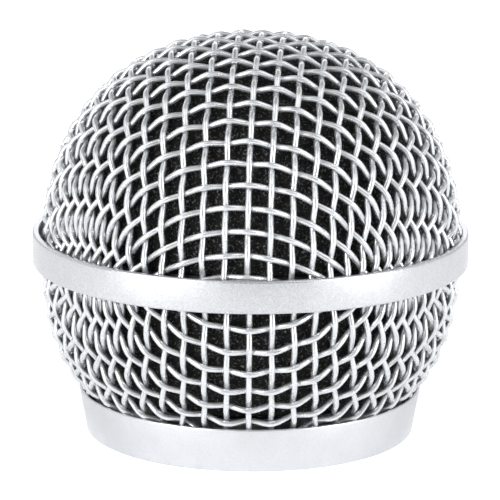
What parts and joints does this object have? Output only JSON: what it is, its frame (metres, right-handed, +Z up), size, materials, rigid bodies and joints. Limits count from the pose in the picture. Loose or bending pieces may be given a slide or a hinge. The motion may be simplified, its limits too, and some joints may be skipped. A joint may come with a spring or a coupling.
{
  "type": "microphone ball grille",
  "caption": "Round silver wire-mesh microphone grille: woven dome and bowl joined by a belt band, black foam liners, on a tapered threaded collar.",
  "frame": {"origin": "centre of the collar's flat foot, on the surface that the grille stands on", "axes": "+Z up along the grille's axis of revolution, from the threaded collar towards the top of the dome; X and Y are alike"},
  "size_m": [0.051, 0.051, 0.0469],
  "materials": {
    "wire_cloth": "satin silver paint over woven steel wire, fine metallic sparkle",
    "band": "satin silver paint over rolled steel band, fine metallic sparkle",
    "collar": "satin silver paint over a turned ring, fine metallic sparkle",
    "hoop": "thin black paint over rolled steel band, so that it does not show behind the mesh",
    "thread_ring": "plain turned and nickel-plated metal, unpainted",
    "foam": "black open-cell polyurethane foam"
  },
  "bodies": {
    "root": {"upper_mesh": "wire_cloth", "lower_mesh": "wire_cloth", "belt_band": "band", "clamp_hoop": "hoop", "collar": "collar", "thread_ring": "thread_ring", "foam_cap": "foam", "foam_sleeve": "foam"}
  },
  "joints": []
}
